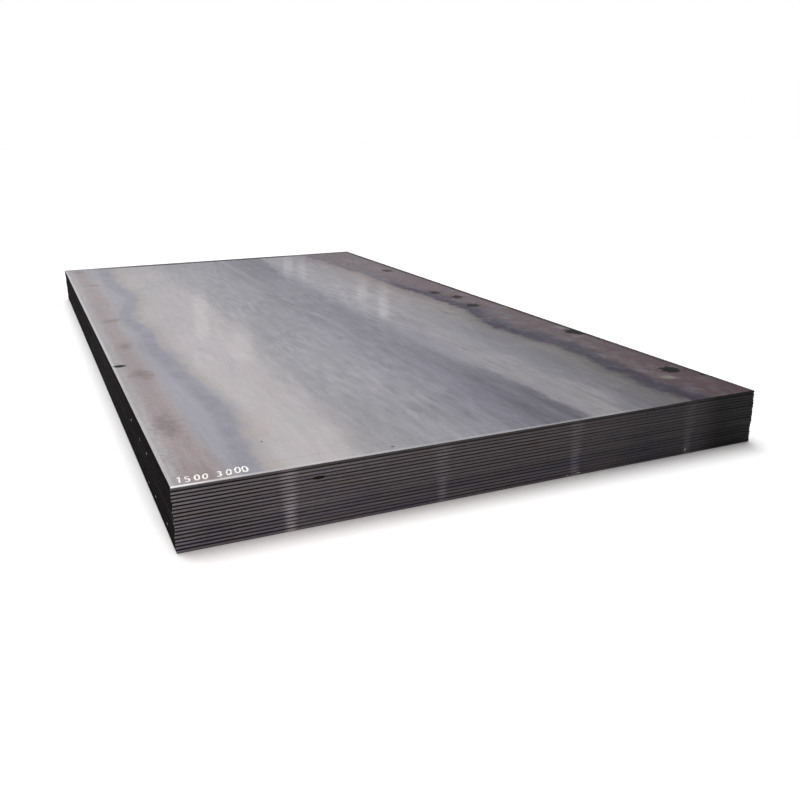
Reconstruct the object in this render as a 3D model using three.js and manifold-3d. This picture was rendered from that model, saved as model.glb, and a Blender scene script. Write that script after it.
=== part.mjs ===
// A pack of hot-rolled steel plate: sheets cut to length from coil and laid flat on one another.
//
// Millimetres, +Z up. X runs across the rolling direction and Y along it. The origin is at the
// centre of the pack's box, on the underside of the lowest plate.
//
// Each plate has two kinds of edge. The long sides are mill edges, as rolled: a low rounded nose.
// The short ends are sheared, and a sheared edge has three zones. Beside the face that the blade
// entered it is rolled over in a small radius, next comes a straight burnished land, and from
// there the steel has torn, leaning back to the other face. The two ends of a plate are one such
// cut and the same cut turned over, because the shear holds the coil down on one side of the
// blade and lets the finished plate drop on the other.

import * as THREE from "three";
import { mergeVertices } from "three/addons/utils/BufferGeometryUtils.js";
import Module from "manifold-3d";

// ---- Driving dimensions ----

const PLATE_COUNT = 18;
const PLATE_WIDTH = 1500;
const PLATE_LENGTH = 3000;
const PLATE_THICKNESS = 7.7; // 8 mm plate, rolled to the low side of its tolerance
const STACK_GAP = 0.2; // air that mill scale and slight unflatness keep between two plates

// Mill edge
const MILL_NOSE = 1.4; // how far the nose stands out past the flat faces

// Sheared end
const ROLLOVER_RADIUS = 1.1;
const BURNISHED_LAND = 2.4;
const TEAR_SETBACK = 0.8; // how far the torn zone leans back by the face where it ends

// How unevenly the stacker drops the plates: the most that one is off, either way
const SHIFT_ACROSS = 1.2;
const SHIFT_ALONG = 0.7;
const SKEW_DEGREES = 0.025;

// The pack was made up in two lifts, and the upper one overhangs the lower at the near end
const LOWER_LIFT = 7; // plates
const LIFT_OVERHANG = 1.8;

// The bruise that a handling knock left in the near end of one plate, along its lower corner
const BRUISED_PLATE = 15;
const BRUISE_FROM_LEFT = 302;
const BRUISE_LENGTH = 26;
const BRUISE_HEIGHT = 3.2;
const BRUISE_DEPTH = 2.6;

// Curve resolution
const NOSE_SEGMENTS = 10;
const ROLLOVER_SEGMENTS = 6;
const BRUISE_SEGMENTS = 24;

const CUT_MARGIN = 10; // how far a cutting prism runs past what it cuts

// ---- Solids ----

const wasm = await Module();
wasm.setup();

// A closed three.js geometry as a manifold-3d solid.
function solidFrom(geometry) {
  geometry.deleteAttribute("normal");
  geometry.deleteAttribute("uv");
  const merged = mergeVertices(geometry);
  return new wasm.Manifold(
    new wasm.Mesh({
      numProp: 3,
      vertProperties: merged.attributes.position.array,
      triVerts: new Uint32Array(merged.index.array),
    }),
  );
}

// A manifold-3d solid as a flat-shaded three.js geometry.
function geometryFrom(solid) {
  const mesh = solid.getMesh();
  const geometry = new THREE.BufferGeometry();
  geometry.setAttribute("position", new THREE.BufferAttribute(mesh.vertProperties, 3));
  geometry.setIndex(new THREE.BufferAttribute(mesh.triVerts, 1));
  const facets = geometry.toNonIndexed();
  facets.computeVertexNormals();
  return facets;
}

// three.js draws each arc of a Shape with twice as many segments as curveSegments.
function prism(shape, depth, arcSegments) {
  const options = { depth, bevelEnabled: false, curveSegments: arcSegments / 2 };
  return new THREE.ExtrudeGeometry(shape, options);
}

// ---- One plate, with its underside at z = 0 ----

// Across the width: two flat faces with a half-elliptical nose on each side.
function rolledSection() {
  const flatEdge = PLATE_WIDTH / 2 - MILL_NOSE;
  const middle = PLATE_THICKNESS / 2;
  const quarter = Math.PI / 2;
  const shape = new THREE.Shape();
  shape.moveTo(-flatEdge, 0);
  shape.lineTo(flatEdge, 0);
  shape.absellipse(flatEdge, middle, MILL_NOSE, middle, -quarter, quarter);
  shape.lineTo(-flatEdge, PLATE_THICKNESS);
  shape.absellipse(-flatEdge, middle, MILL_NOSE, middle, quarter, 3 * quarter);
  return shape;
}

// Along the length: the near end rolls over at the top, the far end at the bottom.
function shearedProfile() {
  const end = PLATE_LENGTH / 2;
  const top = PLATE_THICKNESS;
  const arcCentre = end - ROLLOVER_RADIUS;
  const landEnd = ROLLOVER_RADIUS + BURNISHED_LAND;
  const quarter = Math.PI / 2;
  const shape = new THREE.Shape();
  shape.moveTo(-end + TEAR_SETBACK, 0);
  shape.lineTo(arcCentre, 0);
  shape.absarc(arcCentre, ROLLOVER_RADIUS, ROLLOVER_RADIUS, -quarter, 0);
  shape.lineTo(end, landEnd);
  shape.lineTo(end - TEAR_SETBACK, top);
  shape.lineTo(-arcCentre, top);
  shape.absarc(-arcCentre, top - ROLLOVER_RADIUS, ROLLOVER_RADIUS, quarter, 2 * quarter);
  shape.lineTo(-end, top - landEnd);
  return shape;
}

// The rolled bar, cut by the shear at both ends.
function plateSolid() {
  const barLength = PLATE_LENGTH + 2 * CUT_MARGIN;
  const bar = prism(rolledSection(), barLength, NOSE_SEGMENTS)
    .rotateX(Math.PI / 2)
    .translate(0, barLength / 2, 0);
  const cutWidth = PLATE_WIDTH + 2 * CUT_MARGIN;
  const cut = prism(shearedProfile(), cutWidth, ROLLOVER_SEGMENTS)
    .rotateX(Math.PI / 2)
    .rotateZ(Math.PI / 2)
    .translate(-cutWidth / 2, 0, 0);
  return solidFrom(bar).intersect(solidFrom(cut));
}

// An almond-shaped dent centred on the lower corner of the near end.
function bruise() {
  const dent = new THREE.SphereGeometry(1, BRUISE_SEGMENTS, BRUISE_SEGMENTS / 2)
    .scale(BRUISE_LENGTH / 2, BRUISE_DEPTH, BRUISE_HEIGHT)
    .translate(BRUISE_FROM_LEFT - PLATE_WIDTH / 2, -PLATE_LENGTH / 2, 0);
  return solidFrom(dent);
}

// ---- The pack ----

// Mill scale: a dense blue-grey oxide with a dull metallic shine.
function millScale() {
  return new THREE.MeshStandardMaterial({ color: 0x8e8d94, roughness: 0.38, metalness: 0.85 });
}

// Numbers between -1 and 1 that look random and are the same on every run: the squares of the
// plates' numbers times an irrational step, with the whole part taken off.
function scatter(number, step) {
  return 2 * ((number * number * step) % 1) - 1;
}

const ACROSS_STEP = 0.855655;
const ALONG_STEP = 0.385165;
const SKEW_STEP = 0.56984;

function layPlate(geometry, number) {
  const overhang = number > LOWER_LIFT ? LIFT_OVERHANG : 0;
  const plate = new THREE.Mesh(geometry, millScale());
  plate.name = `plate_${String(number).padStart(2, "0")}`;
  plate.position.set(
    SHIFT_ACROSS * scatter(number, ACROSS_STEP),
    SHIFT_ALONG * scatter(number, ALONG_STEP) - overhang,
    (number - 1) * (PLATE_THICKNESS + STACK_GAP),
  );
  plate.rotation.z = THREE.MathUtils.degToRad(SKEW_DEGREES * scatter(number, SKEW_STEP));
  return plate;
}

// Plate 1 is the lowest. The pack is set down with its box centred on the origin.
function platePack() {
  const pack = new THREE.Group();
  const sound = plateSolid();
  const soundGeometry = geometryFrom(sound);
  const bruisedGeometry = geometryFrom(sound.subtract(bruise()));
  for (let number = 1; number <= PLATE_COUNT; number += 1) {
    const geometry = number === BRUISED_PLATE ? bruisedGeometry : soundGeometry;
    pack.add(layPlate(geometry, number));
  }
  const centre = new THREE.Box3().setFromObject(pack, true).getCenter(new THREE.Vector3());
  pack.position.set(-centre.x, -centre.y, 0);
  return pack;
}

const root = new THREE.Group();
root.add(platePack());

export default root;
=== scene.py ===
"""A pack of hot-rolled steel plates, lying on a pale studio floor.

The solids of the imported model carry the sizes. Each plate gets a finer skin here, which follows its
solid and adds what shearing, rolling and handling leave along the edges. Lengths are in metres.
"""

import math

import bpy
import numpy as np
from mathutils import Matrix, Vector


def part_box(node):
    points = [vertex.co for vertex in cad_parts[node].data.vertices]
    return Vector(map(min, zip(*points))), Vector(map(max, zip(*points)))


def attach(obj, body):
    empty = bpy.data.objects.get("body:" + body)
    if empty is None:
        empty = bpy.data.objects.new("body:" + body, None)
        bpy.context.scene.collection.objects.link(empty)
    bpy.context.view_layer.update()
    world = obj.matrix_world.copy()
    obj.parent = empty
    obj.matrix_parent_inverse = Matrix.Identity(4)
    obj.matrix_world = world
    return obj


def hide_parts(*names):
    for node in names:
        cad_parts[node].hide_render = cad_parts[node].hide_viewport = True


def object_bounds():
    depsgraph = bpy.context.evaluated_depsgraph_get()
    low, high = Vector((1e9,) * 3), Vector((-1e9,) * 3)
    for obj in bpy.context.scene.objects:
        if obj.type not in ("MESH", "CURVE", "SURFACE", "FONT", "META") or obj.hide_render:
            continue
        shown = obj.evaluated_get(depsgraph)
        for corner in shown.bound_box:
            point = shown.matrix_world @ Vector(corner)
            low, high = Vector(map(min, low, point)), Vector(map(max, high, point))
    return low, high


# ---- The frame ----

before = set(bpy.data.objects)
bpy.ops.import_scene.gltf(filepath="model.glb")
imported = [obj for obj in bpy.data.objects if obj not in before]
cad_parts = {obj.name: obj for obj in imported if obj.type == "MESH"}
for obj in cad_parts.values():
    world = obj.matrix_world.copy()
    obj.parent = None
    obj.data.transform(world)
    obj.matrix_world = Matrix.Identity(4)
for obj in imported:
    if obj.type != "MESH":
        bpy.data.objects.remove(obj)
cad_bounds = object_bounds()
plate_names = sorted(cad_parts)
low, high = (Vector(corner) for corner in cad_bounds)

PLATE_THICKNESS = 0.0077
PLATE_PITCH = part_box(plate_names[1])[0].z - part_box(plate_names[0])[0].z
PLATE_WIDTH = 1.5
PLATE_LENGTH = 3.0

# Edge profiles, as in the solids
MILL_NOSE = 0.0014
ROLLOVER_RADIUS = 0.0011
BURNISHED_LAND = 0.0024
TEAR_SETBACK = 0.0008

# The bruise in the near end of one plate
BRUISED_PLATE = "plate_15"
BRUISE_FROM_LEFT = 0.302
BRUISE_LENGTH = 0.026
BRUISE_HEIGHT = 0.0032
BRUISE_DEPTH = 0.0026

# ---- Camera ----

EYE = (-0.963, -3.080, 0.800)
VIEW_AZIMUTH = 23.925  # degrees from +Y towards +X
VIEW_PITCH = 17.529  # degrees below the horizon
VIEW_ROLL = -0.521  # degrees
LENS_MM = 38.63
SENSOR_MM = 36.0


def add_camera():
    data = bpy.data.cameras.new("photo_camera")
    data.sensor_width = SENSOR_MM
    data.lens = LENS_MM
    camera = bpy.data.objects.new("photo_camera", data)
    turn = Matrix.Rotation(math.radians(-VIEW_AZIMUTH), 4, "Z")
    tilt = Matrix.Rotation(math.radians(90 - VIEW_PITCH), 4, "X")
    roll = Matrix.Rotation(math.radians(VIEW_ROLL), 4, "Z")
    camera.matrix_world = Matrix.Translation(EYE) @ turn @ tilt @ roll
    bpy.context.scene.collection.objects.link(camera)
    bpy.context.scene.camera = camera


# ---- Node trees ----


def srgb(code):
    """A colour written as six hex digits, as the linear RGBA that Blender's sockets take."""
    channels = [int(code[i : i + 2], 16) / 255 for i in (0, 2, 4)]
    linear = [c / 12.92 if c <= 0.04045 else ((c + 0.055) / 1.055) ** 2.4 for c in channels]
    return (*linear, 1.0)


class Graph:
    """Short calls for building one node tree. Inputs may be sockets, numbers or tuples."""

    def __init__(self, tree):
        self.tree = tree
        tree.nodes.clear()

    def add(self, kind, inputs=None, **settings):
        node = self.tree.nodes.new(kind)
        for name, value in settings.items():
            setattr(node, name, value)
        for name, value in (inputs or {}).items():
            self.feed(node.inputs[name], value)
        return node

    def feed(self, socket, value):
        if isinstance(value, bpy.types.NodeSocket):
            self.tree.links.new(value, socket)
        else:
            socket.default_value = value

    def math(self, operation, *values):
        node = self.add("ShaderNodeMath", operation=operation)
        for socket, value in zip(node.inputs, values):
            self.feed(socket, value)
        return node.outputs[0]

    def fold(self, operation, values):
        """One operation over any number of values, from left to right."""
        result = values[0]
        for value in values[1:]:
            result = self.math(operation, result, value)
        return result

    def times(self, *values):
        return self.fold("MULTIPLY", values)

    def plus(self, *values):
        return self.fold("ADD", values)

    def largest(self, *values):
        return self.fold("MAXIMUM", values)

    def minus(self, a, b):
        return self.math("SUBTRACT", a, b)

    def ramp(self, value, start, end, low=0.0, high=1.0):
        """A smooth step: low where value is at start or before, high where it is at end or past."""
        span = {"From Min": start, "From Max": end, "To Min": low, "To Max": high}
        inputs = {"Value": value, **span}
        node = self.add("ShaderNodeMapRange", inputs, interpolation_type="SMOOTHSTEP")
        return node.outputs["Result"]

    def stripe(self, value, centre, core, fade):
        """1 within core of centre, and down to 0 at core + fade."""
        distance = self.math("ABSOLUTE", self.minus(value, centre))
        return self.ramp(distance, core, core + fade, 1.0, 0.0)

    def mix(self, factor, a, b, blend="MIX"):
        node = self.add("ShaderNodeMix", data_type="RGBA", blend_type=blend)
        self.feed(node.inputs["Factor"], factor)
        self.feed(node.inputs[6], a)
        self.feed(node.inputs[7], b)
        return node.outputs[2]

    def vector(self, x, y, z):
        return self.add("ShaderNodeCombineXYZ", {"X": x, "Y": y, "Z": z}).outputs[0]

    def noise(self, where, scale, detail, rough, seed):
        """Noise from about 0.2 to 0.8, with 0.5 as its middle."""
        texture = {"Scale": scale, "Detail": detail, "Roughness": rough}
        inputs = {"Vector": where, "W": seed, **texture}
        return self.add("ShaderNodeTexNoise", inputs, noise_dimensions="4D").outputs[0]

    def swing(self, where, scale, detail, rough, seed):
        """Noise from about -1 to 1."""
        raw = self.noise(where, scale, detail, rough, seed)
        return self.times(self.minus(raw, 0.5), 3.3)

    def blotches(self, where, scale, share, soft, detail, seed):
        """1 in scattered blotches that cover about the given share of the surface."""
        edge = 0.5 + 0.42 * (0.5 - share)  # about that share of the noise lies above this
        return self.ramp(self.noise(where, scale, detail, 0.5, seed), edge - soft, edge + soft)


def new_material(name):
    material = bpy.data.materials.new(name)
    material.use_nodes = True
    return material, Graph(material.node_tree)


def pack_position(g):
    """Distances from the pack's left side and near end, and the height."""
    place = g.add("ShaderNodeTexCoord").outputs["Object"]
    split = g.add("ShaderNodeSeparateXYZ", {"Vector": place})
    x, y, z = (split.outputs[axis] for axis in "XYZ")
    from_left = g.plus(x, PLATE_WIDTH / 2)
    from_near = g.plus(y, PLATE_LENGTH / 2)
    return place, from_left, from_near, z


def rolled(g, left, near, squeeze, z=0.0):
    """Texture coordinates squeezed along the plate, which draws a texture out as rolling does."""
    return g.vector(left, g.times(near, squeeze), z)


def scaled(g, colour, factor):
    """The colour, made that many times as light."""
    return g.mix(1.0, colour, g.vector(factor, factor, factor), "MULTIPLY")


BUMP_DISTANCE = 0.001


def finish_surface(g, colour, roughness, metallic, bump_height, bump_strength, **constants):
    """The surface shader. Values that are the same all over it are set on its own sockets."""
    bump_inputs = {"Height": bump_height, "Strength": bump_strength, "Distance": BUMP_DISTANCE}
    bump = g.add("ShaderNodeBump", bump_inputs)
    inputs = {"Base Color": colour, "Roughness": roughness, "Metallic": metallic}
    surface = g.add("ShaderNodeBsdfPrincipled", inputs)
    for socket, value in constants.items():
        surface.inputs[socket.replace("_", " ")].default_value = value
    g.tree.links.new(bump.outputs[0], surface.inputs["Normal"])
    output = g.add("ShaderNodeOutputMaterial")
    g.tree.links.new(surface.outputs[0], output.inputs["Surface"])


# ---- Mill scale, on the flat faces ----

SCALE_SLATE = srgb("89888c")
SCALE_SHADED = srgb("7c7b84")
SCALE_PALE = srgb("9f9c9d")
SCALE_LAVENDER = srgb("929097")
SCALE_BLUE = srgb("7f7e87")
SCALE_CREAM = srgb("a69c94")
SCALE_BLUSH = srgb("a3999a")
SCALE_ROSE = srgb("8e8382")
SCALE_UMBER = srgb("6f6260")
SCALE_DUN = srgb("787370")
SCALE_DEEP_BLUE = srgb("322d3e")
SCALE_BROWN = srgb("60494e")
SCALE_PLUM = srgb("5a3543")
SCALE_MOSS = srgb("5f5d58")
RUST = srgb("694842")
DRIED_YELLOW = srgb("b0aa98")
# Soot for the spots, and the near black of the painted shade on the ledges
SOOT_AND_SHADE = srgb("0c0b0c")
DIRT = srgb("1f1b1b")
# Pale steel, for worn edges and pale flecks, and for painted highlights
BARE_STEEL_AND_HIGHLIGHT = srgb("c6c5c6")
# A painted highlight, nearly white, on the worn near left corner
CORNER_HIGHLIGHT = srgb("fbfafb")

# Where two tints meet: distances from the near end, each with the border's from the left side there
ROSE_BORDER = ((0.00, 0.120), (0.35, 0.106), (1.30, 0.098), (2.10, 0.116), (2.60, 0.104))
BLUE_BORDER = (
    (0.05, 0.188), (0.42, 0.216), (0.95, 0.186), (1.18, 0.166), (1.40, 0.180),
    (1.66, 0.150), (2.10, 0.222), (2.45, 0.186), (2.90, 0.192),
)
PALE_BORDER = ((0.00, 0.410), (1.60, 0.460), (2.80, 0.420))
STREAK_BORDER = ((0.00, 0.992), (0.42, 0.984), (0.70, 0.940), (2.30, 0.935), (2.90, 0.985))
LIGHT_LINE = ((1.00, 0.805), (1.60, 0.778), (2.90, 0.774))
DARK_LINE = (
    (0.00, 1.296), (0.16, 1.280), (0.60, 1.316), (0.76, 1.286), (0.98, 1.272), (1.28, 1.324),
    (1.50, 1.314), (1.85, 1.292), (2.20, 1.298), (2.40, 1.272), (2.62, 1.262), (2.88, 1.230),
)
BLUE_WIDTH = 0.050
DARK_LINE_WIDTH = 0.050
LIGHT_STREAK = 1.050
DUN_FROM = 1.120

# Marks on the scale: from the left side, from the near end, half width and half length
SPOTS = [  # soot and oil
    (1.437, 0.253, 0.032, 0.034),
    (1.478, 0.767, 0.041, 0.046),
    (1.386, 1.317, 0.028, 0.033),
    (1.412, 1.504, 0.024, 0.034),
    (1.374, 1.630, 0.022, 0.032),
    (1.428, 2.260, 0.022, 0.036),
    (1.487, 0.176, 0.009, 0.010),
    (0.022, 0.981, 0.017, 0.018),
    (0.231, 0.178, 0.002, 0.005),
    (0.480, 0.024, 0.005, 0.003),
]
SMEARS = [  # grime round the three spots that lie together
    (1.384, 1.325, 0.062, 0.080),
    (1.404, 1.510, 0.058, 0.085),
    (1.372, 1.630, 0.052, 0.080),
]
SMUDGES = [  # brown, on the rose rim
    (0.060, 0.390, 0.042, 0.130),
    (0.070, 0.855, 0.046, 0.085),
    (0.068, 1.235, 0.036, 0.080),
    (0.078, 1.650, 0.048, 0.040),
    (0.078, 2.465, 0.048, 0.040),
    (0.058, 2.900, 0.034, 0.060),
]
YELLOW_STAINS = [  # on the brown rim
    (1.382, 0.195, 0.026, 0.026),
    (1.483, 1.220, 0.016, 0.040),
    (1.471, 0.842, 0.022, 0.042),
]
SHEAR_GAUGE_MARK = 0.050  # from the near end to a faint line that the shear's hold-down left


def spot_cover(g, u, v, spots, ragged, core):
    """How much of the surface spots hide: all of it out to core, which is a share of their size.

    Each spot is its centre in u and v, and its half sizes.
    """
    cover = 0.0
    for centre_u, centre_v, half_u, half_v in spots:
        du = g.times(g.minus(u, centre_u), 1 / half_u)
        dv = g.times(g.minus(v, centre_v), 1 / half_v)
        reach = g.math("SQRT", g.plus(g.times(du, du), g.times(dv, dv)))
        cover = g.largest(cover, g.ramp(g.plus(reach, ragged), core, 1.0, 1.0, 0.0))
    return cover


def beyond(g, left, near, border, ragged, seed):
    """How far to the right of a border a point is. The border frays as far as ragged says."""
    line = border[0][1]
    for (start, here), (end, there) in zip(border, border[1:]):
        line = g.plus(line, g.ramp(near, start, end, 0.0, there - here))
    lobes = g.swing(g.vector(g.times(left, 0.6), near, 0.0), 11.0, 2.0, 0.6, seed)
    frays = g.swing(rolled(g, left, near, 0.5), 34.0, 4.0, 0.65, seed + 0.5)
    return g.plus(g.minus(left, line), g.times(g.plus(lobes, frays), ragged))


def left_tints(g, colour, left, near):
    """A rose rim on the left, then lavender, blue and a cream fringe, and then the pale part."""
    past_rose = beyond(g, left, near, ROSE_BORDER, 0.004, 11.0)
    past_blue = beyond(g, left, near, BLUE_BORDER, 0.004, 12.0)
    past_pale = beyond(g, left, near, PALE_BORDER, 0.014, 13.0)
    flat = g.vector(left, near, 0.0)

    # The pale part, with blush and a painted sheen in it, and its cream fringe
    pale = g.times(g.ramp(past_blue, 0.0, 0.06), g.ramp(past_pale, 0.07, -0.05))
    colour = g.mix(pale, colour, SCALE_PALE)
    blush = g.blotches(rolled(g, left, near, 0.35), 16.0, 0.45, 0.16, 3.0, 16.0)
    colour = g.mix(g.times(pale, blush, 0.55), colour, SCALE_BLUSH)
    # A painted sheen, lighter, over the pale part's nearer half
    painted_sheen = g.times(g.stripe(left, 0.31, 0.04, 0.13), g.ramp(near, 1.7, 1.1))
    colour = scaled(g, colour, g.plus(1.0, g.times(painted_sheen, 0.14)))
    creamy = g.blotches(flat, 14.0, 0.45, 0.16, 3.0, 14.0)
    fringe = g.times(g.stripe(past_blue, 0.030, 0.010, 0.050), g.ramp(near, 1.3, 1.9, 0.6, 0.9))
    colour = g.mix(g.times(fringe, creamy), colour, SCALE_CREAM)

    # Lavender, which deepens to an uneven blue towards the pale part
    depth = g.ramp(past_blue, -BLUE_WIDTH - 0.015, -BLUE_WIDTH + 0.02)
    uneven = g.ramp(g.swing(flat, 13.0, 4.0, 0.65, 17.0), -1.0, 0.7, 0.3, 1.15)
    blue = g.mix(g.times(depth, uneven), SCALE_LAVENDER, SCALE_BLUE)
    colour = g.mix(g.ramp(past_blue, 0.014, -0.012), colour, blue)

    # The rose rim, paler along both its borders, and its smudges
    rose = g.mix(g.times(g.ramp(left, 0.050, 0.018), 0.7), SCALE_ROSE, SCALE_PALE)
    rose = g.mix(g.times(g.ramp(past_rose, -0.035, 0.0), 0.4), rose, SCALE_PALE)
    rose = scaled(g, rose, g.ramp(near, 0.0, 0.25, 0.91, 1.0))
    colour = g.mix(g.ramp(past_rose, 0.014, -0.014), colour, rose)
    ragged = g.times(g.swing(flat, 24.0, 4.0, 0.7, 15.0), 0.7)
    smudges = spot_cover(g, left, near, SMUDGES, ragged, 0.0)
    return g.mix(g.times(smudges, 0.85), colour, SCALE_UMBER)


def past_dark_line(g, left, near):
    """How far to the right of the dark line's ragged border a point is."""
    ragged = g.times(g.swing(rolled(g, left, near, 0.6), 52.0, 4.0, 0.7, 20.0), 0.007)
    return g.plus(beyond(g, left, near, DARK_LINE, 0.011, 21.0), ragged)


def brown_rim(g, left, near, border):
    """Brown scale with blue, rusty and mossy patches and yellow stains, and plum far away."""
    flat = g.vector(left, near, 0.0)
    bluish = g.blotches(flat, 16.0, 0.42, 0.10, 4.0, 22.0)
    bluish = g.times(bluish, g.ramp(border, 0.15, 0.03, 0.35, 1.0))
    rusty = g.blotches(flat, 22.0, 0.30, 0.08, 4.0, 23.0)
    mossy = g.blotches(flat, 24.0, 0.35, 0.08, 4.0, 24.0)
    rim = g.mix(g.times(mossy, 0.7), SCALE_BROWN, SCALE_MOSS)
    rim = g.mix(g.times(rusty, 0.55), rim, RUST)
    rim = g.mix(g.times(bluish, 0.6), rim, SCALE_BLUE)
    rim = g.mix(g.ramp(near, 1.2, 1.9, 0.0, 0.75), rim, SCALE_PLUM)
    patchy = g.times(g.swing(flat, 42.0, 4.0, 0.65, 25.0), 0.4)
    stains = spot_cover(g, left, near, YELLOW_STAINS, patchy, 0.3)
    rim = g.mix(g.times(stains, 0.36), rim, DRIED_YELLOW)
    mottle = g.plus(0.94, g.times(g.swing(flat, 32.0, 6.0, 0.8, 26.0), 0.42))
    darker = g.times(g.ramp(near, 0.1, 0.6, 1.08, 0.90), g.ramp(near, 1.4, 2.3, 1.0, 0.62))
    return scaled(g, rim, g.times(mottle, darker))


def right_tints(g, colour, left, near):
    """Dun scale, then a dark blue line with a ragged border, and a brown rim behind it."""
    flat = g.vector(left, near, 0.0)
    border = past_dark_line(g, left, near)
    colour = g.mix(g.ramp(left, DUN_FROM, 1.28, 0.0, 0.8), colour, SCALE_DUN)
    streaky = g.swing(rolled(g, left, near, 0.15), 22.0, 3.0, 0.6, 29.0)
    creamy = g.times(g.ramp(near, 0.7, 1.8, 0.0, 0.32), g.ramp(near, 2.2, 2.8, 1.0, 0.4))
    creamy = g.times(creamy, g.ramp(left, 1.00, 1.20), g.ramp(streaky, -0.9, 0.9, 0.3, 1.5))
    colour = g.mix(creamy, colour, SCALE_CREAM)

    # The scale darkens and gets smudgy just before the line.
    shade = g.ramp(g.times(border, g.ramp(near, 1.0, 1.4, 1.0, 0.55)), -0.060, 0.0, 0.0, 0.6)
    shade_tint = g.mix(g.ramp(near, 1.25, 1.55), SCALE_MOSS, SCALE_BROWN)
    colour = g.mix(shade, colour, shade_tint)
    smudgy = g.times(g.blotches(flat, 34.0, 0.45, 0.08, 4.0, 30.0), g.ramp(border, -0.045, -0.005))
    colour = g.mix(g.times(smudgy, 0.45), colour, SCALE_BROWN)
    colour = g.mix(g.ramp(border, -0.012, 0.010), colour, brown_rim(g, left, near, border))

    width = g.times(g.swing(flat, 6.0, 4.0, 0.7, 27.0), 0.028)
    width = g.plus(width, DARK_LINE_WIDTH, g.times(g.stripe(near, 1.0, 0.2, 0.3), 0.018))
    blotchy = g.ramp(g.swing(flat, 26.0, 4.0, 0.7, 28.0), -0.8, 0.4, 0.66, 1.10)
    line = g.times(g.ramp(border, -0.020, 0.012), g.ramp(g.minus(border, width), 0.045, -0.030))
    line = g.times(line, blotchy, g.ramp(near, 2.4, 1.6, 0.40, 1.0))
    return g.mix(line, colour, SCALE_DEEP_BLUE)


def scale_tint(g, left, near, streaks):
    """The colour of clean scale: tints in long bands, whose borders wander along the plate."""
    wander_wide = g.swing(g.vector(g.times(left, 0.6), near, 0.0), 4.0, 4.0, 0.6, 31.0)
    wavy = g.plus(left, g.times(wander_wide, 0.02))
    colour = g.mix(g.ramp(wavy, 0.5, 0.85), SCALE_SLATE, SCALE_SHADED)
    colour = left_tints(g, colour, left, near)
    light = g.stripe(wavy, LIGHT_STREAK, 0.03, 0.10)
    colour = g.mix(g.times(light, g.ramp(near, 0.1, 0.8, 0.75, 0.5)), colour, SCALE_PALE)

    # A dark streak, broken up by finer ones
    past_streak = beyond(g, left, near, STREAK_BORDER, 0.012, 32.0)
    inside = g.times(g.ramp(past_streak, 0.006, -0.020), g.ramp(past_streak, -0.27, -0.09))
    broken = g.ramp(streaks, -0.9, 0.7, 1.05, 0.62)
    strength = g.plus(g.ramp(near, 0.15, 0.7, 0.56, 0.26), g.ramp(near, 2.1, 2.6, 0.0, 0.46))
    colour = g.mix(g.times(inside, broken, strength), colour, SCALE_DEEP_BLUE)

    # A light line with a dark one beside it, over the far half
    past_line = beyond(g, left, near, LIGHT_LINE, 0.005, 33.0)
    shown = g.ramp(g.swing(g.vector(left, near, 0.0), 3.5, 3.0, 0.6, 34.0), -0.8, 0.8, 0.15, 1.0)
    shown = g.times(shown, g.ramp(near, 0.9, 1.5))
    light_line = g.times(g.stripe(past_line, 0.0, 0.002, 0.018), shown, 0.40)
    colour = g.mix(light_line, colour, SCALE_PALE)
    dark_line = g.times(g.stripe(past_line, -0.038, 0.006, 0.020), shown, 0.25)
    colour = g.mix(dark_line, colour, SCALE_DEEP_BLUE)
    return right_tints(g, colour, left, near)


def clouded(g, colour, left, near, z):
    """Adds faint clouds and flecks, warm and cold, to the whole surface."""
    warm = g.swing(rolled(g, left, near, 0.35, z), 11.0, 4.0, 0.6, 8.0)
    colour = g.mix(g.ramp(warm, 0.1, 1.2, 0.0, 0.35), colour, SCALE_CREAM)
    colour = g.mix(g.ramp(warm, -0.1, -1.2, 0.0, 0.35), colour, SCALE_BLUE)
    flecks = g.swing(rolled(g, left, near, 0.35, z), 48.0, 3.0, 0.6, 8.5)
    strength = g.ramp(left, 0.8, 1.0, 0.25, 0.45)
    colour = g.mix(g.times(g.ramp(flecks, 0.1, 1.2), strength), colour, SCALE_BLUSH)
    return g.mix(g.times(g.ramp(flecks, -0.1, -1.2), strength), colour, SCALE_BLUE)


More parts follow.
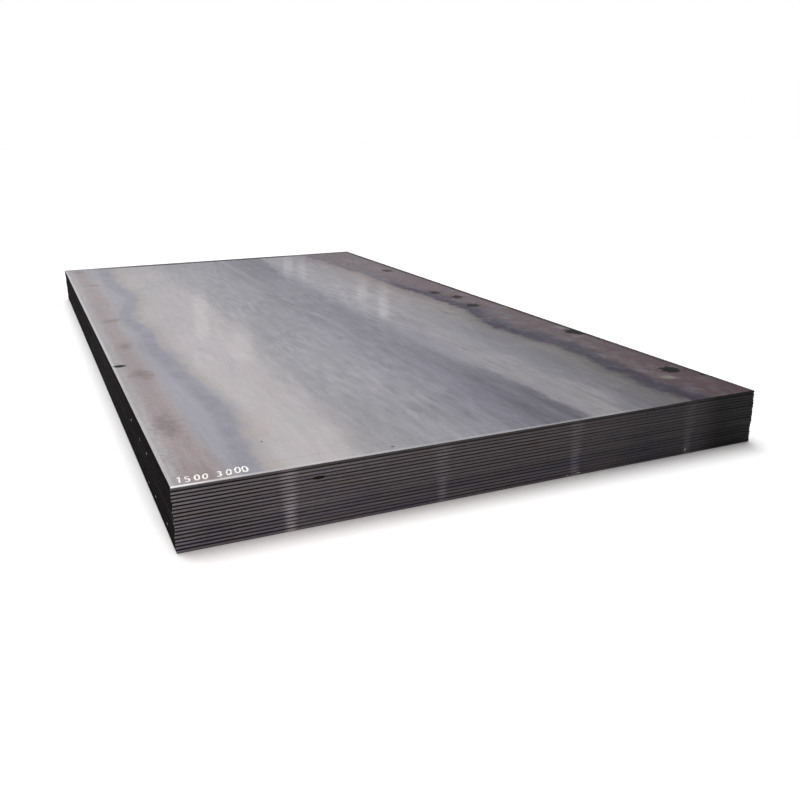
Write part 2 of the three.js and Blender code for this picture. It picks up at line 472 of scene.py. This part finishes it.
def scale_shade(g, left, near, z, streaks, mottle, grain):
    """How light the scale is, as a factor around 1."""
    scratches = g.swing(rolled(g, left, near, 0.10, z), 170.0, 2.0, 0.5, 2.0)
    strokes = g.swing(rolled(g, left, near, 0.16, z), 58.0, 3.0, 0.6, 3.0)
    patchy = g.noise(rolled(g, left, near, 0.5, z), 7.0, 2.0, 0.5, 2.5)
    patchy = g.ramp(patchy, 0.35, 0.65, 0.3, 1.5)
    brushed = g.times(g.plus(g.times(scratches, 0.08), g.times(strokes, 0.27)), patchy)
    texture = g.plus(brushed, g.times(streaks, 0.16), g.times(mottle, 0.24))

    # The texture is calmer on the left and in the near right corner, and strongest nearby.
    across = g.plus(g.ramp(left, 0.20, 0.65, 0.28, 1.0), g.ramp(left, 0.20, 0.10, 0.0, 0.20))
    calm = g.times(g.ramp(near, 0.6, 0.1), g.ramp(left, 0.8, 0.9, 0.0, 0.50))
    along = g.plus(g.ramp(near, 0.1, 0.5, 1.32, 0.80), g.ramp(near, 0.8, 1.2, 0.0, 0.22))
    texture = g.times(texture, across, g.minus(along, calm))

    speckled = g.swing(g.vector(left, near, z), 130.0, 3.0, 0.7, 10.0)
    speckled = g.times(speckled, g.ramp(left, 0.12, 0.03, 0.06, 0.28))
    clouds = g.swing(rolled(g, left, near, 0.4, z), 5.0, 2.0, 0.5, 6.0)
    shade = g.plus(1.0, texture, speckled, g.times(clouds, 0.08), g.times(grain, 0.04))
    mark = g.times(g.stripe(near, SHEAR_GAUGE_MARK, 0.0008, 0.002), g.ramp(left, 1.2, 1.1))
    shade = g.times(shade, g.plus(1.0, g.times(mark, -0.12)))
    lighter = g.times(g.stripe(left, 0.70, 0.15, 0.15), g.ramp(near, 1.4, 0.8, 0.0, 0.14))
    darker = g.times(g.stripe(left, 0.85, 0.25, 0.15), g.ramp(near, 1.6, 2.7, 0.0, 0.12))
    shade = g.times(shade, g.minus(g.plus(1.0, lighter), darker))
    return g.times(shade, g.ramp(near, 2.55, 2.90, 1.0, 0.88))


def worn_rims_and_highlights(g, colour, left, near):
    """Handling has worn the top plate's near and left rims to bare steel, and a painted highlight
    runs along them, strongest at their corner.
    """
    near_edge = low.y + PLATE_LENGTH / 2
    at_near_edge = g.ramp(near, near_edge + 0.011, near_edge + 0.006)
    patchy = g.ramp(g.noise(g.vector(left, 0.0, 0.0), 6.0, 2.0, 0.5, 41.0), 0.3, 0.7, 0.3, 1.0)
    strength = g.times(g.ramp(left, 0.05, 0.45, 1.0, 0.55), g.ramp(left, 1.16, 1.05), patchy)
    colour = g.mix(g.times(at_near_edge, strength), colour, BARE_STEEL_AND_HIGHLIGHT)
    left_rim = g.times(g.ramp(left, 0.012, 0.006), g.ramp(near, 0.6, 1.0, 0.3, 0.6))
    colour = g.mix(left_rim, colour, BARE_STEEL_AND_HIGHLIGHT)
    corner = g.times(at_near_edge, g.ramp(left, 0.10, 0.03))
    return g.mix(g.times(corner, 0.65), colour, CORNER_HIGHLIGHT)


def rim_dirt(g, left, near):
    """How much of the surface dirt hides, in lines along the far end and the right side."""
    ragged = g.swing(g.vector(left, near, 0.0), 16.0, 5.0, 0.7, 42.0)
    reach = g.plus(near, g.times(ragged, 0.022))
    far_line = g.ramp(reach, PLATE_LENGTH - 0.058, PLATE_LENGTH - 0.036, 0.0, 0.95)
    shown = g.times(g.ramp(left, 0.08, 0.35, 0.1, 1.0), g.ramp(left, 1.25, 1.10, 0.2, 1.0))
    right_line = g.times(g.ramp(left, 1.472, 1.488), g.ramp(near, 0.3, 1.2, 0.7, 0.95))
    return g.largest(g.times(far_line, shown), right_line)


def mill_scale_material():
    material, g = new_material("mill_scale")
    place, left, near, z = pack_position(g)
    streaks = g.swing(rolled(g, left, near, 0.06, z), 30.0, 4.0, 0.6, 4.0)
    mottle = g.swing(rolled(g, left, near, 0.22, z), 24.0, 4.0, 0.65, 5.0)
    grain = g.swing(place, 420.0, 2.0, 0.5, 7.0)

    colour = clouded(g, scale_tint(g, left, near, streaks), left, near, z)
    colour = scaled(g, colour, scale_shade(g, left, near, z, streaks, mottle, grain))
    colour = worn_rims_and_highlights(g, colour, left, near)
    dirt = rim_dirt(g, left, near)
    colour = g.mix(dirt, colour, DIRT)

    # Painted shade, near black, on the flat faces below the top plate's top, which show at the
    # ledges.
    shaded_ledge = g.ramp(z, high.z - 0.001, high.z - 0.003)
    colour = g.mix(g.times(shaded_ledge, 0.85), colour, SOOT_AND_SHADE)

    ragged = g.times(g.swing(place, 55.0, 4.0, 0.7, 9.0), 0.6)
    smears = spot_cover(g, left, near, SMEARS, ragged, 0.2)
    colour = g.mix(g.times(smears, 0.28), colour, DIRT)
    spots = spot_cover(g, left, near, SPOTS, ragged, 0.78)
    colour = g.mix(spots, colour, SOOT_AND_SHADE)

    # What hides the scale, the painted shade on the ledges too, also dulls its metallic shine, as the
    # core of the dark line does.
    core = g.stripe(past_dark_line(g, left, near), 0.022, 0.010, 0.018)
    core = g.times(core, g.stripe(near, 1.35, 0.35, 0.35))
    hidden = g.largest(spots, shaded_ledge, dirt, g.times(smears, 0.4), g.times(core, 0.5))
    metallic = g.ramp(hidden, 0.0, 1.0, 0.78, 0.0)
    gloss = g.plus(0.40, g.times(streaks, 0.03), g.times(mottle, 0.04), g.times(hidden, 0.5))
    height = g.plus(g.times(streaks, 0.4), g.times(mottle, 0.3), g.times(grain, 0.15))
    finish_surface(
        g, colour, gloss, metallic, height, 0.07,
        Specular_IOR_Level=0.1, Specular_Tint=(0.62, 0.62, 0.66, 1.0),
        Coat_Weight=0.10, Coat_Roughness=0.10,
    )
    return material


# ---- Sheared ends and mill edges ----

# The ends' and mill edges' colours are the steel's own dark tones, made darker still as painted
# shade.
END_STEEL = srgb("5b5659")
END_BLUE = srgb("52505b")
END_BROWN = srgb("5b524d")
# Near black, for the painted shade in the grooves and in the bruise
END_PAINTED_SHADE = srgb("0a090a")
MILL_EDGE = srgb("272425")
PLATE_SHIFT = 7.3  # how far apart the textures of two plates are taken
PALE_BANDS = ((0.238, 1.0), (0.590, 0.42), (0.945, 0.6), (1.289, 0.45))  # from the left, strength
FAR_BANDS_FROM = 1.37  # the far end's bands count from here, the other way
# Marks on the near end: from the left side, height, half length and half height
# Painted shade in the bruise's hollow
BRUISE_SHADE = [
    (BRUISE_FROM_LEFT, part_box(BRUISED_PLATE)[0].z, 0.6 * BRUISE_LENGTH, 1.2 * BRUISE_HEIGHT),
]
END_FLECKS = [  # small pale flecks, in bare steel's colour
    (0.925, 0.004, 0.007, 0.0016),
    (0.957, 0.006, 0.009, 0.0016),
    (1.284, 0.012, 0.003, 0.0060),
]
# Small pale flecks in the left side: from the near end, and height
SIDE_FLECKS = (
    (0.09, 0.026), (0.24, 0.027), (0.34, 0.025),
    (0.33, 0.098), (0.44, 0.097), (0.59, 0.099),
)
SIDE_FLECK_SIZE = (0.0066, 0.0033)  # half length and half height


def layer_coordinates(g, z):
    """Which plate of the pack a point is on, and how far up that plate it is, from 0 to 1."""
    turns = g.times(z, 1 / PLATE_PITCH)
    return g.math("FLOOR", turns), g.math("FRACT", turns)


def end_painted_shade(g, left, near, z, patch, scuffs):
    """How light an end's steel is, as a factor: patchy, with painted shade to the right and on the
    top plate, and painted light at the near left and towards the floor.
    """
    dark_corner = g.ramp(near, 1.0, 2.0, 0.29, 0.70)  # the far end's is not so dark
    top_seam = high.z - PLATE_PITCH
    return g.times(
        g.plus(0.94, g.times(patch, 0.26), g.times(scuffs, 0.15)),
        g.ramp(left, 0.08, 0.0, 1.0, 1.2),
        g.ramp(left, 0.25, 0.45, 1.03, 0.86),
        g.ramp(left, 0.45, 0.80, 1.0, 0.90),
        g.ramp(left, 0.80, 1.20, 1.0, 0.575),
        g.ramp(left, 1.30, 1.40, 1.0, dark_corner),
        g.ramp(z, 0.05, 0.0, 1.0, 1.35),
        g.ramp(z, top_seam - 0.001, top_seam + 0.001, 1.0, 0.55),
    )


def pale_bands(g, left, near, z, along):
    """How much lighter an end is in a few pale bands across it. They narrow towards the floor.

    The far end has its own bands, in the opposite order.
    """
    counted = g.ramp(near, 1.0, 2.0, left, g.minus(FAR_BANDS_FROM, left))
    reach = g.ramp(z, 0.0, high.z, 0.013, 0.022)
    pale_share = 0.0
    for from_left, strength in PALE_BANDS:
        distance = g.math("ABSOLUTE", g.minus(counted, from_left))
        pale_share = g.plus(pale_share, g.ramp(g.math("DIVIDE", distance, reach), 0.15, 1.3, strength, 0.0))
    broken = g.plus(1.0, g.times(g.swing(along, 11.0, 3.0, 0.6, 7.0), 0.5))
    return g.plus(1.0, g.times(pale_share, broken, g.ramp(z, 0.0, 0.11, 1.5, 0.7)))


def end_material():
    material, g = new_material("sheared_end")
    _, left, near, z = pack_position(g)
    plate, up = layer_coordinates(g, z)
    along = g.vector(left, g.times(plate, PLATE_SHIFT), near)
    patch = g.swing(along, 3.0, 4.0, 0.6, 1.0)
    scuffs = g.swing(along, 55.0, 3.0, 0.6, 3.0)
    tint = g.swing(g.vector(left, near, g.times(z, 5.0)), 9.0, 4.0, 0.6, 2.0)

    cold = g.plus(tint, g.ramp(z, 0.09, 0.03, -0.2, 0.2))
    colour = g.mix(g.ramp(cold, -0.2, 0.8), END_STEEL, END_BLUE)
    colour = g.mix(g.ramp(cold, -0.3, -1.0), colour, END_BROWN)
    shade = end_painted_shade(g, left, near, z, patch, scuffs)
    colour = scaled(g, colour, g.times(shade, pale_bands(g, left, near, z, along)))

    # Painted shade darkens the grooves between the plates, most at the near left corner. The top
    # plate's upper corner is left out of it.
    groove_shade = g.plus(g.ramp(up, 0.26, 0.02), g.ramp(up, 0.72, 0.94))
    open_top = g.ramp(z, high.z - 0.004, high.z - 0.002)
    shade_depth = g.times(g.ramp(left, 0.02, 0.30, 1.7, 0.9), g.ramp(left, 0.8, 1.1, 1.0, 0.42))
    shade_depth = g.times(shade_depth, g.plus(g.ramp(left, 0.024, 0.012, 1.0, 1.5), g.times(patch, 0.2)))
    groove_shade = g.math("MINIMUM", g.times(groove_shade, g.minus(1.0, open_top), shade_depth), 1.0)
    colour = g.mix(groove_shade, colour, END_PAINTED_SHADE)
    near_end = g.ramp(near, 2.0, 1.0)
    # Painted shade in the bruise
    bruise_shade = spot_cover(g, left, z, BRUISE_SHADE, 0.0, 0.8)
    colour = g.mix(g.times(bruise_shade, near_end), colour, END_PAINTED_SHADE)
    pale_flecks = spot_cover(g, left, z, END_FLECKS, 0.0, 0.2)
    colour = g.mix(g.times(pale_flecks, near_end, 0.7), colour, BARE_STEEL_AND_HIGHLIGHT)
    # Worn bare steel on the top plate's upper corner, brightened as a painted highlight
    worn_edge_highlight = g.times(g.ramp(z, high.z - 0.0014, high.z - 0.0004), g.ramp(left, 1.3, 1.0))
    colour = g.mix(g.times(worn_edge_highlight, 0.9), colour, BARE_STEEL_AND_HIGHLIGHT)

    height = g.swing(g.vector(left, near, g.times(z, 3.0)), 300.0, 3.0, 0.6, 6.0)
    metallic = g.plus(0.35, g.times(worn_edge_highlight, 0.5))
    finish_surface(g, colour, 0.5, metallic, height, 0.3, Specular_IOR_Level=0.1)
    return material


def mill_edge_material():
    material, g = new_material("mill_edge")
    place, left, near, z = pack_position(g)
    plate, up = layer_coordinates(g, z)
    patch = g.swing(g.vector(g.times(plate, PLATE_SHIFT), near, left), 5.0, 4.0, 0.6, 1.0)
    fine = g.swing(place, 60.0, 3.0, 0.6, 2.0)
    shade = g.plus(1.0, g.times(patch, 0.3), g.times(fine, 0.2))
    colour = scaled(g, MILL_EDGE, g.times(shade, g.ramp(near, 0.2, 1.2, 1.0, 1.8)))
    # Painted shade in the grooves between the plates
    groove_shade = g.plus(g.ramp(up, 0.30, 0.05), g.ramp(up, 0.70, 0.92))
    colour = g.mix(groove_shade, colour, END_PAINTED_SHADE)
    pale_flecks = spot_cover(g, near, z, [(*fleck, *SIDE_FLECK_SIZE) for fleck in SIDE_FLECKS], 0.0, 0.64)
    on_left = g.ramp(left, 0.1, 0.05)
    colour = g.mix(g.times(pale_flecks, on_left, 0.8), colour, BARE_STEEL_AND_HIGHLIGHT)
    height = g.swing(place, 200.0, 3.0, 0.6, 6.0)
    finish_surface(g, colour, 0.85, 0.0, height, 0.3, Specular_IOR_Level=0.0)
    return material


# ---- Paint mark ----

PAINT_WHITE = srgb("e8e6e2")
MARK_START = (0.014, 0.019)  # from the left side and the near end
DIGIT_HEIGHT = 0.030
DIGIT_STEP = 0.0175
GROUP_GAP = 0.010
STROKE_WIDTH = 0.0040
PAINT_THICKNESS = 0.0001
MARK_GROUPS = ("1500", "3000")
MARK_SEED = 8


def arc(x, y, half_wide, half_high, start, end, count=14):
    """Points along an arc, with angles in degrees."""
    turns = np.radians(np.linspace(start, end, count))
    return [(x + half_wide * math.cos(t), y + half_high * math.sin(t)) for t in turns]


# Strokes of each digit, in a box 1 wide and 1 high
DIGITS = {
    "0": [arc(0.5, 0.5, 0.30, 0.46, 100, 470, 24)],
    "1": [[(0.28, 0.72), (0.52, 0.98), (0.50, 0.50), (0.47, 0.02)]],
    "3": [arc(0.45, 0.74, 0.26, 0.23, 150, -90) + arc(0.45, 0.27, 0.30, 0.25, 90, -140)],
    "5": [[(0.82, 0.95), (0.32, 0.97), (0.27, 0.58)] + arc(0.44, 0.31, 0.33, 0.28, 110, -140)],
}


def paint_material():
    material, g = new_material("marker_paint")
    place = g.add("ShaderNodeTexCoord").outputs["Object"]
    thin = g.blotches(place, 260.0, 0.35, 0.10, 3.0, 3.0)
    colour = g.mix(g.times(thin, 0.45), PAINT_WHITE, SCALE_SLATE)
    height = g.swing(place, 500.0, 3.0, 0.6, 2.0)
    finish_surface(g, colour, 0.6, 0.0, height, 0.2)
    return material


def add_paint_mark(material):
    """The plate's width and length, written by hand with a paint marker near its corner."""
    rng = np.random.default_rng(MARK_SEED)
    curve = bpy.data.curves.new("size_mark", "CURVE")
    curve.dimensions = "3D"
    curve.bevel_depth = STROKE_WIDTH / 2
    curve.bevel_resolution = 2
    curve.use_fill_caps = True
    along = 0.0
    for group in MARK_GROUPS:
        for digit in group:
            lean = rng.uniform(0.05, 0.45)
            size = rng.uniform(0.80, 1.10)
            drop = rng.uniform(-0.08, 0.08)
            for stroke in DIGITS[digit]:
                spline = curve.splines.new("POLY")
                spline.points.add(len(stroke) - 1)
                for point, (x, y) in zip(spline.points, stroke):
                    across = along + DIGIT_STEP * size * (0.9 * x + lean * y)
                    point.co = (across, DIGIT_HEIGHT * (size * y + drop), 0.0, 1.0)
                    point.radius = rng.uniform(0.6, 1.2)
            along += DIGIT_STEP * rng.uniform(0.90, 1.10)
        along += GROUP_GAP
    curve.materials.append(material)
    mark = bpy.data.objects.new("size_mark", curve)
    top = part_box(plate_names[-1])[1].z
    flat = Matrix.Diagonal((1, 1, PAINT_THICKNESS / STROKE_WIDTH, 1))
    corner = (MARK_START[0] - PLATE_WIDTH / 2, MARK_START[1] - PLATE_LENGTH / 2, top)
    mark.matrix_world = Matrix.Translation(corner) @ flat
    bpy.context.scene.collection.objects.link(mark)
    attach(mark, "root")


# ---- Plate skins ----

END_STEP = 0.006  # between columns of vertices along a sheared end
SIDE_STEP = 0.020  # the same along a mill edge
# Heights of the rows on an edge, as shares of the thickness: closer where the profile bends
LEVELS = np.array([
    0, 0.015, 0.05, 0.095, 0.143, 0.23, 0.34, 0.455,
    0.545, 0.66, 0.77, 0.857, 0.905, 0.95, 0.985, 1,
])
TEAR_ROUGHNESS = 0.00009
MILL_ROUGHNESS = 0.00006
MILL_WANDER = 0.0002  # how far a mill edge as a whole wanders, either way
# Handling dents: the least and the most of each
DENTS_PER_EDGE = (2, 5)
DENT_REACH_ALONG = (0.003, 0.012)
DENT_DEPTH = (0.0003, 0.0011)
DENT_REACH_DOWN = 0.0012  # from the corner
SHARP_ANGLE = 40  # degrees
FLAT_SLOT, SHEARED_SLOT, EDGE_SLOT = range(3)  # each skin's material slots


def wander(places, wavelength, seed):
    """Smooth noise along an edge, from -1 to 1."""
    rng = np.random.default_rng(seed)
    steps = places / wavelength
    cell = np.floor(steps).astype(int)
    knots = rng.uniform(-1, 1, cell.max() + 2)
    part = steps - cell
    part = part * part * (3 - 2 * part)
    return knots[cell] * (1 - part) + knots[cell + 1] * part


def dents(depth, places, seed):
    """A few small handling dents along the two corners of an edge."""
    rng = np.random.default_rng(seed)
    inset = np.zeros((len(depth), len(places)))
    fewest, most = DENTS_PER_EDGE
    for _ in range(rng.integers(fewest, most + 1)):
        centre = rng.uniform(places[0], places[-1])
        reach = rng.uniform(*DENT_REACH_ALONG)
        deep = rng.uniform(*DENT_DEPTH)
        corner = rng.choice([0.0, PLATE_THICKNESS])
        across = np.exp(-(((places - centre) / reach) ** 2))
        down = np.exp(-(((depth - corner) / DENT_REACH_DOWN) ** 2))
        inset += deep * down[:, None] * across[None, :]
    return inset


def mill_inset(depth, places, seed):
    """How far a mill edge lies behind its furthest line, for each depth and place."""
    rng = np.random.default_rng(seed)
    side = 2 * depth[:, None] / PLATE_THICKNESS - 1
    nose = MILL_NOSE * (1 + 0.2 * wander(places, 0.3, seed + 1))
    inset = nose[None, :] * (1 - np.sqrt(np.clip(1 - side**2, 0, 1)))
    inset = inset + MILL_WANDER * (1 + wander(places, 0.22, seed + 2))[None, :]
    inset = inset + MILL_ROUGHNESS * rng.uniform(0, 1, inset.shape)
    return inset + dents(depth, places, seed + 3)


def sheared_inset(depth, places, seed):
    """The same for a sheared end, with depth counted from the face that the blade entered."""
    rng = np.random.default_rng(seed)
    radius = ROLLOVER_RADIUS * (1 + 0.15 * wander(places, 0.12, seed + 1))[None, :]
    short = np.clip(radius - depth[:, None], 0, None)
    inset = radius - np.sqrt(radius**2 - short**2)
    wavy = 0.25 * wander(places, 0.07, seed + 2) + 0.15 * wander(places, 0.014, seed + 3)
    land = BURNISHED_LAND * (1 + wavy)
    tear_start = ROLLOVER_RADIUS + land[None, :]
    torn = np.clip((depth[:, None] - tear_start) / (PLATE_THICKNESS - tear_start), 0, 1)
    inset = inset + TEAR_SETBACK * torn
    inset = inset + TEAR_ROUGHNESS * np.sign(torn) * rng.uniform(0, 1, inset.shape)
    return inset + dents(depth, places, seed + 4)


def bruise_inset(depth, places):
    """The bruise, on a near end whose places count from the left."""
    up = (PLATE_THICKNESS - depth[:, None]) / BRUISE_HEIGHT
    along = (places[None, :] - BRUISE_FROM_LEFT) / (BRUISE_LENGTH / 2)
    return BRUISE_DEPTH * np.sqrt(np.clip(1 - up**2 - along**2, 0, 1))


def plate_placement(name):
    """Where a plate's solid lies: its centre in plan, the height of its underside, and its skew."""
    lowest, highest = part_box(name)
    corners = np.array([v.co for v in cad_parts[name].data.vertices])
    near_left = corners[np.argmax(-corners[:, 0] - corners[:, 1])]
    near_right = corners[np.argmax(corners[:, 0] - corners[:, 1])]
    skew = math.atan2(near_right[1] - near_left[1], near_right[0] - near_left[0])
    centre = (lowest + highest) / 2
    return Matrix.Translation((centre.x, centre.y, lowest.z)) @ Matrix.Rotation(skew, 4, "Z")


def skin_rings(name, number):
    """The plate's outline at each level, as points, and whether a sheared facet starts at each."""
    rise = LEVELS * PLATE_THICKNESS
    across = np.linspace(0, PLATE_WIDTH, round(PLATE_WIDTH / END_STEP) + 1)
    along = np.linspace(0, PLATE_LENGTH, round(PLATE_LENGTH / SIDE_STEP) + 1)
    near = sheared_inset(PLATE_THICKNESS - rise, across, 100 * number + 10)
    far = sheared_inset(rise, across, 100 * number + 20)
    left = mill_inset(rise, along, 100 * number + 30)
    right = mill_inset(rise, along, 100 * number + 40)
    if name == BRUISED_PLATE:
        near = np.maximum(near, bruise_inset(PLATE_THICKNESS - rise, across))
    half_width, half_length = PLATE_WIDTH / 2, PLATE_LENGTH / 2
    x_left, x_right = left - half_width, half_width - right
    y_near, y_far = near - half_length, half_length - far

    def between(start, end, count):
        share = np.linspace(0, 1, count)[None, :]
        return start[:, None] * (1 - share) + end[:, None] * share

    wide, long = len(across), len(along)
    sides = [
        (between(x_left[:, 0], x_right[:, 0], wide), y_near),
        (x_right, between(y_near[:, -1], y_far[:, -1], long)),
        (between(x_left[:, -1], x_right[:, -1], wide)[:, ::-1], y_far[:, ::-1]),
        (x_left[:, ::-1], between(y_near[:, 0], y_far[:, 0], long)[:, ::-1]),
    ]
    x = np.hstack([side[0][:, :-1] for side in sides])
    y = np.hstack([side[1][:, :-1] for side in sides])
    z = np.repeat(rise[:, None], x.shape[1], axis=1)
    # The sides go round from the near end, so every other one is an end.
    is_end = np.hstack([np.full(side[0].shape[1] - 1, i % 2 == 0) for i, side in enumerate(sides)])
    return np.stack([x, y, z], axis=-1), is_end


def add_skin(name, number, flat_material, sheared_material, edge_material):
    """The finer mesh that stands in for a plate's solid in the picture."""
    rings, is_end = skin_rings(name, number)
    levels, around = rings.shape[:2]
    index = np.arange(levels * around).reshape(levels, around)
    following = np.roll(index, -1, axis=1)
    walls = np.stack([index[:-1], following[:-1], following[1:], index[1:]], axis=-1).reshape(-1, 4)
    top, underside = index[-1], index[0, ::-1]
    faces = [*walls.tolist(), top.tolist(), underside.tolist()]
    mesh = bpy.data.meshes.new(name + "_skin")
    mesh.from_pydata(rings.reshape(-1, 3).tolist(), [], faces)
    for material in (flat_material, sheared_material, edge_material):
        mesh.materials.append(material)
    slots = np.tile(np.where(is_end, SHEARED_SLOT, EDGE_SLOT), levels - 1).tolist()
    slots += [FLAT_SLOT, FLAT_SLOT]
    mesh.polygons.foreach_set("material_index", slots)
    mesh.transform(plate_placement(name))
    mesh.set_sharp_from_angle(angle=math.radians(SHARP_ANGLE))
    mesh.polygons.foreach_set("use_smooth", [True] * len(walls) + [False, False])
    skin = bpy.data.objects.new(name + "_skin", mesh)
    bpy.context.scene.collection.objects.link(skin)
    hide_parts(name)
    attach(skin, "root")


# ---- Stage ----

FLOOR_SIZE = 80.0
FLOOR_GREY = (0.92, 0.92, 0.92, 1.0)
LAMP_COLOUR = (1.0, 0.90, 0.85)
CEILING_FROM = (-0.1, 0.8, 2.4)  # the way to the middle of the lit ceiling
CEILING_STRENGTH = 2.9
CEILING_ANGLE = 50  # degrees
FRONT_LAMP = (-0.70, -2.75, 0.70)  # by the near left corner, so the near end darkens to the right
FRONT_LAMP_TARGET = (-0.60, -1.50, 0.07)
FRONT_LAMP_SIZE = (0.5, 0.5)
FRONT_LAMP_WATTS = 9.0
STRIP_TARGET = (0.2, 0.5, 0.14)
# Strip lamps behind the pack: where they stand, their width and height, and their brightness
STRIP_LAMPS = [
    ((1.89, 6.50, 0.99), (0.10, 0.08), 6.0),
    ((2.04, 6.46, 1.02), (0.08, 0.08), 6.0),
    ((2.74, 6.35, 1.34), (0.11, 0.14), 4.3),
    ((2.98, 6.27, 1.50), (0.11, 0.26), 4.2),
    ((0.87, 6.60, 1.50), (0.16, 0.42), 2.6),
    ((1.31, 6.58, 1.87), (0.20, 0.42), 2.6),
]
BRIGHT_SIDE = (-0.087, 0.996, 0.0)  # the way to the bright wall of the studio
BRIGHT_WALL = 1.15
DIM_WALLS = 0.22
GLOSS_GAIN = 0.27  # glossy steel mirrors the walls brighter by this share
FILL_SIDE = (-0.423, -0.906, 0.0)  # the way to a pale wall that only glossy steel mirrors
FILL_STRENGTH = 0.55


def add_floor():
    material, g = new_material("studio_floor")
    surface = g.add("ShaderNodeBsdfDiffuse", {"Color": FLOOR_GREY})
    output = g.add("ShaderNodeOutputMaterial")
    g.tree.links.new(surface.outputs[0], output.inputs["Surface"])
    half = FLOOR_SIZE / 2
    mesh = bpy.data.meshes.new("floor")
    corners = [(x * half, y * half, low.z) for x, y in ((-1, -1), (1, -1), (1, 1), (-1, 1))]
    mesh.from_pydata(corners, [], [(0, 1, 2, 3)])
    mesh.materials.append(material)
    floor = bpy.data.objects.new("floor", mesh)
    bpy.context.scene.collection.objects.link(floor)


def aim(obj, target):
    obj.rotation_euler = (Vector(target) - obj.location).to_track_quat("-Z", "Y").to_euler()


def add_softbox(name, location, target, size, watts, mirrored=True):
    data = bpy.data.lights.new(name, "AREA")
    data.color = LAMP_COLOUR
    data.shape = "RECTANGLE"
    data.size, data.size_y = size
    data.energy = watts
    light = bpy.data.objects.new(name, data)
    light.location = location
    light.visible_camera = False
    light.visible_glossy = mirrored
    aim(light, target)
    bpy.context.scene.collection.objects.link(light)


def add_sun(name, direction, strength, angle):
    data = bpy.data.lights.new(name, "SUN")
    data.energy = strength
    data.angle = math.radians(angle)
    light = bpy.data.objects.new(name, data)
    light.location = direction
    light.visible_glossy = False
    aim(light, (0, 0, 0))
    bpy.context.scene.collection.objects.link(light)


def add_world():
    """White to the camera. The walls light the pack from one end, with a fill for its gloss."""
    world = bpy.data.worlds.new("studio")
    bpy.context.scene.world = world
    world.use_nodes = True
    g = Graph(world.node_tree)
    direction = g.add("ShaderNodeTexCoord").outputs["Generated"]
    z = g.add("ShaderNodeSeparateXYZ", {"Vector": direction}).outputs["Z"]
    level = g.math("SQRT", g.minus(1.001, g.times(z, z)))  # the direction's length in plan, never 0

    def facing(side):
        towards = g.add("ShaderNodeVectorMath", operation="DOT_PRODUCT")
        g.feed(towards.inputs[0], direction)
        towards.inputs[1].default_value = side
        return g.math("DIVIDE", towards.outputs["Value"], level)

    ray = g.add("ShaderNodeLightPath").outputs
    wall = g.ramp(facing(BRIGHT_SIDE), 0.50, 1.0, DIM_WALLS, BRIGHT_WALL)
    wall = g.times(wall, g.ramp(z, 0.02, 0.40, 0.66, 1.0))
    fill = g.ramp(facing(FILL_SIDE), -0.75, 0.10, 0.0, FILL_STRENGTH)
    fill = g.times(fill, g.ramp(z, 0.08, 0.20))
    mirrored = g.plus(g.times(wall, GLOSS_GAIN), fill)
    lit = g.plus(wall, g.times(mirrored, ray["Is Glossy Ray"]))
    strength = g.math("MAXIMUM", lit, ray["Is Camera Ray"])
    white = (1.0, 1.0, 1.0, 1.0)
    background = g.add("ShaderNodeBackground", {"Color": white, "Strength": strength})
    output = g.add("ShaderNodeOutputWorld")
    g.tree.links.new(background.outputs[0], output.inputs["Surface"])


def add_lights():
    add_sun("ceiling", CEILING_FROM, CEILING_STRENGTH, CEILING_ANGLE)
    front = (FRONT_LAMP, FRONT_LAMP_TARGET, FRONT_LAMP_SIZE, FRONT_LAMP_WATTS)
    add_softbox("front_lamp", *front, mirrored=False)
    for number, (location, size, radiance) in enumerate(STRIP_LAMPS, start=1):
        watts = radiance * math.pi * size[0] * size[1]
        add_softbox(f"strip_{number}", location, STRIP_TARGET, size, watts)


# ---- Build ----

bpy.context.scene.view_settings.view_transform = "Standard"
add_camera()
add_floor()
add_world()
add_lights()

scale_material = mill_scale_material()
sheared_material = end_material()
edge_material = mill_edge_material()
for number, name in enumerate(plate_names, start=1):
    add_skin(name, number, scale_material, sheared_material, edge_material)

add_paint_mark(paint_material())
